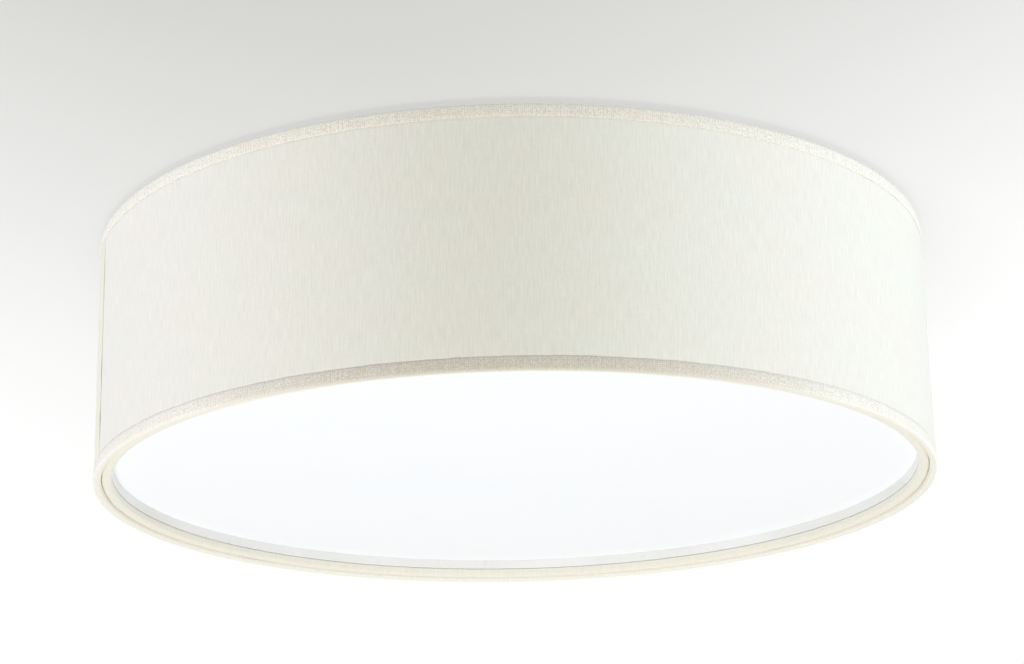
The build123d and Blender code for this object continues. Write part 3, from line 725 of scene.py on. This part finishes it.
class Wardrobe:
    """Makes each finish's material once and puts it on pieces."""

    def __init__(self) -> None:
        """Start with nothing made."""
        self.made: dict[str, bpy.types.Material] = {}

    def material(self, slot: str) -> bpy.types.Material:
        """Give a slot's material.

        Args:
            slot: The record's name of the material.

        Returns:
            The material, made on first use.
        """
        if slot not in self.made:
            self.made[slot] = FINISHES[slot].make(slot + "_finish")
        return self.made[slot]

    def dress_solids(self, body: Body) -> list[str]:
        """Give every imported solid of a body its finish.

        Args:
            body: The group whose solids are dressed.

        Returns:
            The names of the solids.
        """
        names = [name for name, node in frame["nodes"].items() if node["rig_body"] == body.value]
        for name in names:
            node = frame["nodes"][name]
            for place in node.material_slots:
                place.material = self.material(place.material.name.split(".")[0])
        return names

    def dress(self, piece: bpy.types.Object, slot: str) -> None:
        """Give a new piece one finish.

        Args:
            piece: The piece.
            slot: The record's name of the material.

        Returns:
            Nothing.
        """
        piece.data.materials.clear()
        piece.data.materials.append(self.material(slot))


# ---------------------------------------------------------------- cloth


def ripple(angle: float, height: float, waves: Waves) -> float:
    """Add up whole waves round the drum, so that the cloth closes on itself.

    Args:
        angle: Where round the drum, in radians.
        height: Where up the cloth, 0 to 1.
        waves: Each wave's count round the drum, share and lean.

    Returns:
        The sum, about -1 to 1.
    """
    return sum(
        share * math.sin(count * angle + lean * height + WAVE_SHIFT * count)
        for count, share, lean in waves
    )


def smooth_step(value: float) -> float:
    """Ease from 0 to 1, held outside."""
    value = min(1.0, max(0.0, value))
    return value * value * (3 - 2 * value)


def rounded(turn: float, half_width: float, half_height: float, fullness: float) -> tuple[float, float]:
    """Give a point of an oval whose corners can be filled out.

    Args:
        turn: The angle round the oval.
        half_width: Half its width.
        half_height: Half its height.
        fullness: 1 for a true oval, less for squarer corners.

    Returns:
        Sideways and upward offsets from its middle.
    """
    across, up = math.cos(turn), math.sin(turn)
    return (
        half_width * math.copysign(abs(across) ** fullness, across),
        half_height * math.copysign(abs(up) ** fullness, up),
    )


@dataclass
class ClothPiece:
    """A strip of cloth laid round the drum: columns along it, rows across it."""

    name: str
    length: float
    width: float
    columns: int
    rows: int
    lie: Callable[[float, float], Vector]
    thickness: float
    closed: bool = False
    thinned_rows: int = 0
    thinned_columns: int = 0

    def build(self) -> bpy.types.Object:
        """Lay the strip out, map it in metres and give it its thickness.

        Returns:
            The cloth, its place in its mesh.
        """
        mesh = bpy.data.meshes.new(self.name)
        work = bmesh.new()
        layer = work.loops.layers.uv.new(CLOTH_MAP)
        count = self.columns if self.closed else self.columns + 1
        grid = [
            [work.verts.new(self.lie(column / self.columns, row / self.rows)) for row in range(self.rows + 1)]
            for column in range(count)
        ]
        for column in range(self.columns):
            for row in range(self.rows):
                here, there = grid[column], grid[(column + 1) % count]
                face = work.faces.new((here[row], there[row], there[row + 1], here[row + 1]))
                face.smooth = True
                corners = ((column, row), (column + 1, row), (column + 1, row + 1), (column, row + 1))
                for loop, (across, up) in zip(face.loops, corners):
                    loop[layer].uv = (self.length * across / self.columns, self.width * up / self.rows)
        work.to_mesh(mesh)
        work.free()
        piece = bpy.data.objects.new(self.name, mesh)
        bpy.context.scene.collection.objects.link(piece)
        self.thicken(piece)
        return piece

    def thicken(self, piece: bpy.types.Object) -> None:
        """Give the sheet its thickness, half to each side.

        Args:
            piece: The sheet.

        Returns:
            Nothing.
        """
        wall = piece.modifiers.new("wall", "SOLIDIFY")
        wall.thickness = self.thickness
        wall.offset = 0.0
        if self.thinned_rows or self.thinned_columns:
            body = piece.vertex_groups.new(name="full_thickness")
            places = [divmod(vertex.index, self.rows + 1) for vertex in piece.data.vertices]
            last_column, last_row = self.columns - self.thinned_columns, self.rows - self.thinned_rows
            full = [i for i, (column, row) in enumerate(places) if column <= last_column and row <= last_row]
            body.add(full, 1.0, "REPLACE")
            wall.vertex_group = body.name
            wall.thickness_vertex_group = THINNED
        bpy.ops.object.select_all(action="DESELECT")
        bpy.context.view_layer.objects.active = piece
        piece.select_set(True)
        bpy.ops.object.modifier_apply(modifier=wall.name)
        piece.vertex_groups.clear()


@dataclass
class ClothShade:
    """The drum: its cloth strip, the two folded hems, and the solids they lie on."""

    wardrobe: Wardrobe
    radius: float = 200 * MM
    top: float = -3 * MM
    bottom: float = -120 * MM
    cover_outer: float = 199.5 * MM
    cover_thickness: float = 0.5 * MM
    skin_bottom: float = -116.7 * MM
    skin_top: float = -6.3 * MM
    lap_start: float = math.radians(194.6)
    lap_width: float = 12 * MM
    lap_rise: float = 0.53 * MM
    lap_climb: float = 2 * MM
    climb_ahead: float = 1.5 * MM
    climb_easing: float = 1.2
    loose_over: float = 3.5 * MM
    pressed_over: float = 1.6 * MM
    lap_gapes: tuple[Triple, ...] = (
        (0.17, 0.05, 0.24 * MM),
        (0.39, 0.06, 0.2 * MM),
        (0.78, 0.10, 0.08 * MM),
    )
    cover_swell: float = 0.1 * MM
    cover_waves: Waves = ((3, 0.5, 1.2), (7, 0.3, -2.0), (13, 0.2, 2.6))
    calm_by_lap: float = 25 * MM
    calm_by_hem: float = 1 / 14
    cover_columns: int = 760
    cover_rows: int = 28
    hem_cloth: float = 0.4 * MM
    hem_roll: float = 1.85 * MM
    hem_band: float = 6 * MM
    hem_tuck: float = 9 * MM
    hem_columns: int = 720
    corner_fullness: float = 0.55
    flat_steps: int = 6
    roll_steps: int = 16
    edge_from: float = 3.5 * MM
    edge_over: float = 2.5 * MM
    edge_waver: float = 0.18 * MM
    edge_pressed: float = 0.21 * MM
    edge_waves: Waves = ((9, 0.25, 0.0), (31, 0.3, 0.0), (67, 0.25, 0.0), (113, 0.2, 0.0))
    pucker: float = 0.04 * MM
    pucker_waves: Waves = ((41, 0.3, 5.0), (97, 0.4, -4.0), (151, 0.3, 3.0))
    tuck_slack: float = 0.2 * MM
    tuck_easing: float = 2.6

    def cover(self) -> bpy.types.Object:
        """Roll the strip into the drum, its end over its start.

        Returns:
            The cloth cover.
        """
        middle = self.cover_outer - self.cover_thickness / 2
        round_length = 2 * math.pi * middle
        length = round_length + self.lap_width
        width = self.skin_top - self.skin_bottom

        def lie(along: float, up: float) -> Vector:
            """Give the place of one point of the strip's middle."""
            travelled = along * length
            angle = self.lap_start + travelled / middle
            over = travelled - round_length
            to_end = over - self.lap_width
            fade = smooth_step(up / self.calm_by_hem) * smooth_step((1 - up) / self.calm_by_hem)
            loose = smooth_step((to_end + self.loose_over) / self.loose_over)
            gape = sum(rise * math.exp(-(((up - at) / spread) ** 2)) for at, spread, rise in self.lap_gapes)
            thinner = (1 - THINNED) * self.cover_thickness / 2
            pressed = thinner * smooth_step((to_end + self.pressed_over) / self.pressed_over)
            climbed = smooth_step((over + self.climb_ahead) / self.lap_climb)
            climbed *= smooth_step(fade * self.climb_easing)
            lift = (self.lap_rise - pressed + gape * loose) * climbed
            swell = self.cover_swell * ripple(angle, up, self.cover_waves) * fade
            off_lap = smooth_step(travelled / self.calm_by_lap) * smooth_step(abs(over) / self.calm_by_lap)
            reach = middle + lift + min(0.0, swell * off_lap)
            return Vector((reach * math.cos(angle), reach * math.sin(angle), self.skin_bottom + width * up))

        piece = ClothPiece(
            "drum_cloth",
            length,
            width,
            self.cover_columns,
            self.cover_rows,
            lie,
            self.cover_thickness,
            thinned_columns=1,
        ).build()
        self.wardrobe.dress(piece, "cover_cloth")
        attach(piece, Body.SHADE.value)
        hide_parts("fabric_cover")
        return piece

    def hem_line(self) -> Profile:
        """Trace the folded hem from its tuck, round the ring, to its outer edge.

        Returns:
            Radius and height above the hem's lowest point, along the cloth's middle.
        """
        fold = self.hem_roll - self.hem_cloth / 2
        centre = self.radius - self.hem_roll
        tuck_step = (self.hem_tuck - self.hem_roll) / self.flat_steps
        band_step = (self.hem_band - self.hem_roll) / self.flat_steps
        inside = [(centre - fold, self.hem_tuck - step * tuck_step) for step in range(self.flat_steps)]
        roll = []
        for step in range(self.roll_steps + 1):
            turn = math.pi + math.pi * step / self.roll_steps
            fullness = self.corner_fullness if step > self.roll_steps / 2 else 1.0
            across, up = rounded(turn, fold, fold, fullness)
            roll.append((centre + across, self.hem_roll + up))
        rows = range(1, self.flat_steps + 1)
        outside = [(centre + fold, self.hem_roll + step * band_step) for step in rows]
        return inside + roll + outside

    def hem(self, name: str, node: str, upper: bool) -> bpy.types.Object:
        """Fold one hem round its ring.

        Args:
            name: The piece's name.
            node: The solid it stands for.
            upper: True for the hem at the ceiling.

        Returns:
            The hem.
        """
        line = self.hem_line()
        steps = [math.dist(a, b) for a, b in zip(line, line[1:])]
        width = sum(steps)
        length = 2 * math.pi * (self.radius - self.hem_cloth / 2)
        last = len(line) - 1

        def lie(along: float, across: float) -> Vector:
            """Give the place of one point of the hem's middle."""
            angle = self.lap_start + along * 2 * math.pi
            place = round(across * last)
            radius, height = line[place]
            outside = 1 if place > last / 2 else 0
            at_edge = smooth_step((height - self.edge_from) / self.edge_over) * outside
            height += self.edge_waver * ripple(angle, 0, self.edge_waves) * at_edge
            radius -= self.pucker * (1 + ripple(angle, across, self.pucker_waves)) * outside
            radius -= self.edge_pressed * at_edge
            radius -= self.tuck_slack * (1 - smooth_step(across * self.tuck_easing))
            level = self.top - height if upper else self.bottom + height
            return Vector((radius * math.cos(angle), radius * math.sin(angle), level))

        piece = ClothPiece(
            name,
            length,
            width,
            self.hem_columns,
            last,
            lie,
            self.hem_cloth,
            closed=True,
            thinned_rows=1,
        ).build()
        self.wardrobe.dress(piece, "hem_cloth")
        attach(piece, Body.SHADE.value)
        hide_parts(node)
        return piece

    def build(self) -> None:
        """Build and dress the whole shade."""
        names = self.wardrobe.dress_solids(Body.SHADE)
        LOG.info("shade solids: %s", ", ".join(sorted(names)))
        pieces = [
            self.cover(),
            self.hem("hem_lower", "bottom_hem", False),
            self.hem("hem_upper", "top_hem", True),
        ]
        for piece in pieces:
            LOG.info("cloth: %s, %d faces", piece.name, len(piece.data.polygons))


@dataclass
class DiffuserLid:
    """The push-in lid: cloth-wrapped rim, narrow hoop, opal disc and sprung clips."""

    wardrobe: Wardrobe
    rim_circle: float = 193.4 * MM
    rim_level: float = -116.4 * MM
    rim_width: float = 3.8 * MM
    rim_height: float = 4.4 * MM
    cloth: float = 0.4 * MM
    flats: int = 28
    fullness_below: float = 0.8
    fullness_above: float = 0.25
    outward_swell: float = 0.7 * MM
    swell_at_clips: float = 0.3 * MM
    inward_swell: float = 0.28 * MM
    clip_count: int = 4
    clip_reach: float = 12 * MM
    columns: int = 720
    slack: float = 0.02
    slack_waves: Waves = ((29, 0.3, 7.0), (71, 0.35, -9.0), (127, 0.35, 6.0))
    held_share: float = 1 / 6

    def swell(self, angle: float) -> float:
        """Give how far the cloth swells outwards, less where a clip presses on it.

        Args:
            angle: Where round the lid, in radians.

        Returns:
            The swell.
        """
        between = 2 * math.pi / self.clip_count
        off = (angle % between - between / 2) * self.rim_circle
        free = 1 - math.exp(-((off / self.clip_reach) ** 4))
        return self.swell_at_clips + (self.outward_swell - self.swell_at_clips) * free

    def rim_cloth(self) -> bpy.types.Object:
        """Wrap the oval rim in its cloth, which meets itself on the hidden upper side.

        Returns:
            The wrap.
        """
        half_width = (self.rim_width - self.cloth) / 2
        half_height = (self.rim_height - self.cloth) / 2
        line = []
        for step in range(self.flats + 1):
            turn = math.pi / 2 + 2 * math.pi * step / self.flats
            fullness = self.fullness_above if math.sin(turn) > 0 else self.fullness_below
            line.append(rounded(turn, half_width, half_height, fullness))

        def swollen(across: float, outward: float) -> float:
            """Widen an offset from the rim's middle."""
            spread = outward if across > 0 else self.inward_swell
            return across * (1 + spread / half_width)

        laid = [(swollen(across, self.outward_swell), up) for across, up in line]
        width = sum(math.dist(a, b) for a, b in zip(laid, laid[1:]))
        length = 2 * math.pi * self.rim_circle

        def lie(along: float, across: float) -> Vector:
            """Give the place of one point of the wrap's middle."""
            angle = along * 2 * math.pi
            sideways, up = line[round(across * self.flats)]
            free = smooth_step(across / self.held_share) * smooth_step((1 - across) / self.held_share)
            pull = 1 - self.slack * (1 + ripple(angle, across, self.slack_waves)) * free
            radius = self.rim_circle + swollen(sideways * pull, self.swell(angle))
            return Vector((radius * math.cos(angle), radius * math.sin(angle), self.rim_level + up * pull))

        piece = ClothPiece(
            "lid_rim_cloth",
            length,
            width,
            self.columns,
            self.flats,
            lie,
            self.cloth,
            closed=True,
        ).build()
        self.wardrobe.dress(piece, "lid_cloth")
        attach(piece, Body.LID.value)
        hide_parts("lid_cloth_wrap")
        return piece

    def build(self) -> None:
        """Build and dress the lid."""
        names = self.wardrobe.dress_solids(Body.LID)
        LOG.info("lid solids: %s", ", ".join(sorted(names)))
        piece = self.rim_cloth()
        LOG.info("cloth: %s, %d faces", piece.name, len(piece.data.polygons))


@dataclass
class CeilingUnit:
    """What stays on the ceiling: plate, studs, bracket, lampholders, terminal block and leads."""

    wardrobe: Wardrobe

    def build(self) -> None:
        """Dress the ceiling unit's solids."""
        names = self.wardrobe.dress_solids(Body.CEILING)
        LOG.info("ceiling unit solids: %s", ", ".join(sorted(names)))


@dataclass
class Bulb:
    """One bulb, lying flat in its holder."""

    wardrobe: Wardrobe
    body: Body

    def build(self) -> None:
        """Dress the bulb's solids."""
        names = self.wardrobe.dress_solids(self.body)
        LOG.info("%s solids: %s", self.body.value, ", ".join(sorted(names)))


# ---------------------------------------------------------------- studio


@dataclass(frozen=True)
class SoftLamp:
    """A square soft light, aimed at the shade."""

    name: str
    place: Triple
    size: float
    power: float
    colour: Colour = (1.0, 1.0, 1.0)
    target: Triple = (0.0, 0.0, -0.06)

    def build(self) -> None:
        """Hang the light and turn it to its target."""
        data = bpy.data.lights.new(self.name, "AREA")
        data.size = self.size
        data.energy = self.power
        data.color = self.colour
        lamp = bpy.data.objects.new(self.name, data)
        bpy.context.scene.collection.objects.link(lamp)
        aim = Vector(self.target) - Vector(self.place)
        lamp.matrix_world = Matrix.Translation(self.place) @ aim.to_track_quat("-Z", "Y").to_matrix().to_4x4()
        lamp.visible_camera = False


@dataclass
class Studio:
    """The ceiling behind the light, a pale floor far below, soft lamps, the sky and the camera."""

    photo_width: float = 1024.0
    focal_pixels: float = 2590.0
    sensor: float = 36.0
    camera_place: Triple = (-0.0002, -1.2029, -0.4278)
    pitch: float = math.radians(17.893)
    roll: float = math.radians(-1.195)
    ceiling_level: float = 0.4 * MM
    ceiling_side: float = 12.0
    floor_level: float = -2.4
    floor_side: float = 14.0
    # Painted shade on the ceiling: grey near the camera, bowed deeper behind the middle of the shade as its
    # painted shadow, and darker to the left.
    painted_shade_grey: Colour = (0.19, 0.2, 0.145)
    far_white: Colour = (1.0, 1.0, 1.0)
    white_from: float = 0.93
    fade: float = 0.3
    deepest_painted_shade: float = 0.55
    sideways: float = 0.47
    painted_shadow_bow: float = 3.95
    clouds: float = 0.08
    cloud_scale: float = 3.0
    lit_share: float = 0.22
    usual_light: float = 0.7
    ambient: float = 0.54
    lamps: tuple[SoftLamp, ...] = (
        SoftLamp("lamp_right", (2.36, -0.42, 0.3), 0.8, 33.5, (0.93, 1.0, 1.18)),
        SoftLamp("lamp_left", (-2.36, -0.42, 0.3), 0.8, 21.5, (1.0, 1.0, 1.25)),
        SoftLamp("lamp_low", (-0.2, -1.0, -1.7), 0.9, 15.5),
        SoftLamp("lamp_under", (0.1, 0.6, -1.7), 0.9, 3.8),
    )

    def backdrop_painted_shade(self, sheet: NodeSheet) -> Socket:
        """Paint shade on the ceiling: grey over the camera, deepest behind the middle of the shade as a
        painted broad shadow and darker to the left, fading to white further off.

        Args:
            sheet: The material's nodes.

        Returns:
            The colour.
        """
        spot = sheet.add("SeparateXYZ", {0: sheet.add("TexCoord").outputs["Object"]}).outputs
        # Painted shadow: the bow deepens the grey behind the middle of the shade, the sideways lean darkens
        # the left.
        bow = sheet.math("MULTIPLY_ADD", spot[0], self.painted_shadow_bow, self.sideways)
        away = sheet.math("MULTIPLY_ADD", spot[0], bow, spot[1])
        cloud = sheet.noise(sheet.place(Coordinates.OBJECT, (self.cloud_scale,) * 3), 2.0)
        away = sheet.math("MULTIPLY_ADD", sheet.math("SUBTRACT", cloud, 0.5), self.clouds, away)
        short = sheet.math("MAXIMUM", sheet.math("SUBTRACT", self.white_from, away), 0.0)
        share = sheet.math("MULTIPLY", sheet.math("MULTIPLY", short, short), self.fade)
        share = sheet.math("MINIMUM", share, self.deepest_painted_shade)
        return sheet.mixed(share, self.far_white, self.painted_shade_grey)

    def backdrop_material(self, name: str, fades: bool) -> bpy.types.Material:
        """Make a pale backdrop that only the camera, gloss and clear pieces see, from its front.

        Args:
            name: The material's name.
            fades: True where it carries the painted shade, grey near the camera fading to white.

        Returns:
            The material.
        """
        sheet = NodeSheet(name)
        sheet.tree.nodes.remove(sheet.shader)
        colour = self.backdrop_painted_shade(sheet) if fades else self.far_white
        lit = sheet.mixed(1.0, colour, (self.lit_share,) * 3, "MULTIPLY")
        glow = sheet.add("Emission", {"Color": colour, "Strength": 1 - self.lit_share * self.usual_light})
        matt = sheet.add("BsdfDiffuse", {"Color": lit})
        surface = sheet.add("AddShader", {0: glow.outputs[0], 1: matt.outputs[0]}).outputs[0]
        rays = sheet.add("LightPath").outputs
        seen = sheet.math("MAXIMUM", rays["Is Camera Ray"], rays["Is Glossy Ray"])
        seen = sheet.math("MAXIMUM", seen, rays["Is Transmission Ray"])
        front = sheet.math("SUBTRACT", 1.0, sheet.add("NewGeometry").outputs["Backfacing"])
        shown = sheet.math("MULTIPLY", seen, front)
        clear = sheet.add("BsdfTransparent").outputs[0]
        mix = sheet.add("MixShader", {0: shown, 1: clear, 2: surface})
        sheet.feed(sheet.tree.nodes["Material Output"], "Surface", mix.outputs[0])
        return sheet.material

    def backdrop(self, name: str, level: float, side: float, downward: bool) -> bpy.types.Object:
        """Lay one flat backdrop. The one that looks down is the ceiling, which carries painted shade, grey
        near the camera.

        Args:
            name: The backdrop's name.
            level: Its height.
            side: Its side.
            downward: True where its front looks down.

        Returns:
            The backdrop.
        """
        bpy.ops.object.select_all(action="DESELECT")
        bpy.ops.mesh.primitive_plane_add(size=side, location=(0, 0, level))
        plane = bpy.context.object
        plane.name = name
        bpy.ops.object.transform_apply(location=True, rotation=True, scale=True)
        if downward:
            bpy.ops.object.mode_set(mode="EDIT")
            bpy.ops.mesh.select_all(action="SELECT")
            bpy.ops.mesh.flip_normals()
            bpy.ops.object.mode_set(mode="OBJECT")
        plane.data.materials.append(self.backdrop_material(name + "_paint", downward))
        return plane

    def sky(self) -> None:
        """Make the world: white where it is seen, plain soft light elsewhere."""
        world = bpy.data.worlds.new("soft_room")
        bpy.context.scene.world = world
        world.use_nodes = True
        nodes, links = world.node_tree.nodes, world.node_tree.links
        ground = nodes["Background"]
        ground.inputs["Color"].default_value = (1.0, 1.0, 1.0, 1.0)
        rays = nodes.new("ShaderNodeLightPath").outputs
        seen = rays["Is Camera Ray"]
        for kind in ("Is Transmission Ray", "Is Glossy Ray"):
            either = nodes.new("ShaderNodeMath")
            either.operation = "MAXIMUM"
            links.new(seen, either.inputs[0])
            links.new(rays[kind], either.inputs[1])
            seen = either.outputs[0]
        strength = nodes.new("ShaderNodeMapRange")
        strength.inputs["To Min"].default_value = self.ambient
        strength.inputs["To Max"].default_value = 1.0
        links.new(seen, strength.inputs["Value"])
        links.new(strength.outputs["Result"], ground.inputs["Strength"])

    def camera(self) -> None:
        """Stand the camera where the photograph was taken from."""
        data = bpy.data.cameras.new("photo_camera")
        data.sensor_width = self.sensor
        data.lens = self.focal_pixels * self.sensor / self.photo_width
        camera = bpy.data.objects.new("photo_camera", data)
        bpy.context.scene.collection.objects.link(camera)
        turn = Matrix.Rotation(math.pi / 2 + self.pitch, 4, "X") @ Matrix.Rotation(self.roll, 4, "Z")
        camera.matrix_world = Matrix.Translation(self.camera_place) @ turn
        bpy.context.scene.camera = camera

    def build(self) -> None:
        """Set the stage, the light and the camera."""
        bpy.context.scene.view_settings.view_transform = "Standard"
        self.camera()
        self.backdrop("ceiling", self.ceiling_level, self.ceiling_side, downward=True)
        self.backdrop("floor", self.floor_level, self.floor_side, downward=False)
        self.sky()
        for lamp in self.lamps:
            lamp.build()
        LOG.info("studio: camera, ceiling, floor and %d lamps", len(self.lamps))


def main() -> None:
    """Build the studio and the light, piece by piece."""
    logging.basicConfig(level=logging.INFO, format="%(name)s: %(message)s")
    wardrobe = Wardrobe()
    assemblies = (
        Studio(),
        ClothShade(wardrobe),
        DiffuserLid(wardrobe),
        CeilingUnit(wardrobe),
        Bulb(wardrobe, Body.BULB_LEFT),
        Bulb(wardrobe, Body.BULB_RIGHT),
    )
    for assembly in assemblies:
        assembly.build()


if __name__ == "__main__":
    main()
